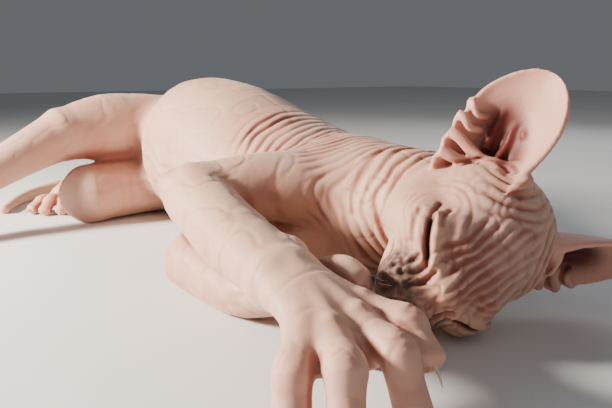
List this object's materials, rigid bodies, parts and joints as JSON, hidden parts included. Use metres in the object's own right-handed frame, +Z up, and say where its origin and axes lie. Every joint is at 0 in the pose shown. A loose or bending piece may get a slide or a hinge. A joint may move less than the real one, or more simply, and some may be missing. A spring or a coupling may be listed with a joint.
{
  "type": "sphynx cat lying asleep, life-size museum model",
  "caption": "Hairless sphynx cat asleep on its left side, forelegs stretched out, one ear up, as a still life-size model.",
  "frame": {"origin": "on the floor under the chest, in the flat that the left flank rests on", "axes": "+X runs along the body to the head, +Y to the back, -Y to the belly and the legs, +Z up to the cat's right side"},
  "size_m": [0.5818, 0.3765, 0.1319],
  "materials": {
    "skin": "matte bare skin",
    "ear_skin": "thin matte bare skin",
    "paw_skin": "matte bare skin"
  },
  "bodies": {
    "root": {"torso": "skin", "neck": "skin", "head": "skin", "ear_right": "ear_skin", "ear_left": "ear_skin", "tail_base": "skin", "tail_tip": "skin", "foreleg_right_upper": "skin", "foreleg_right_lower": "skin", "forepaw_right": "paw_skin", "foreleg_left_upper": "skin", "foreleg_left_lower": "skin", "forepaw_left": "paw_skin", "hindleg_right_thigh": "skin", "hindleg_right_shank": "skin", "hindpaw_right": "paw_skin", "hindleg_left_thigh": "skin", "hindleg_left_shank": "skin", "hindpaw_left": "paw_skin"}
  },
  "joints": []
}
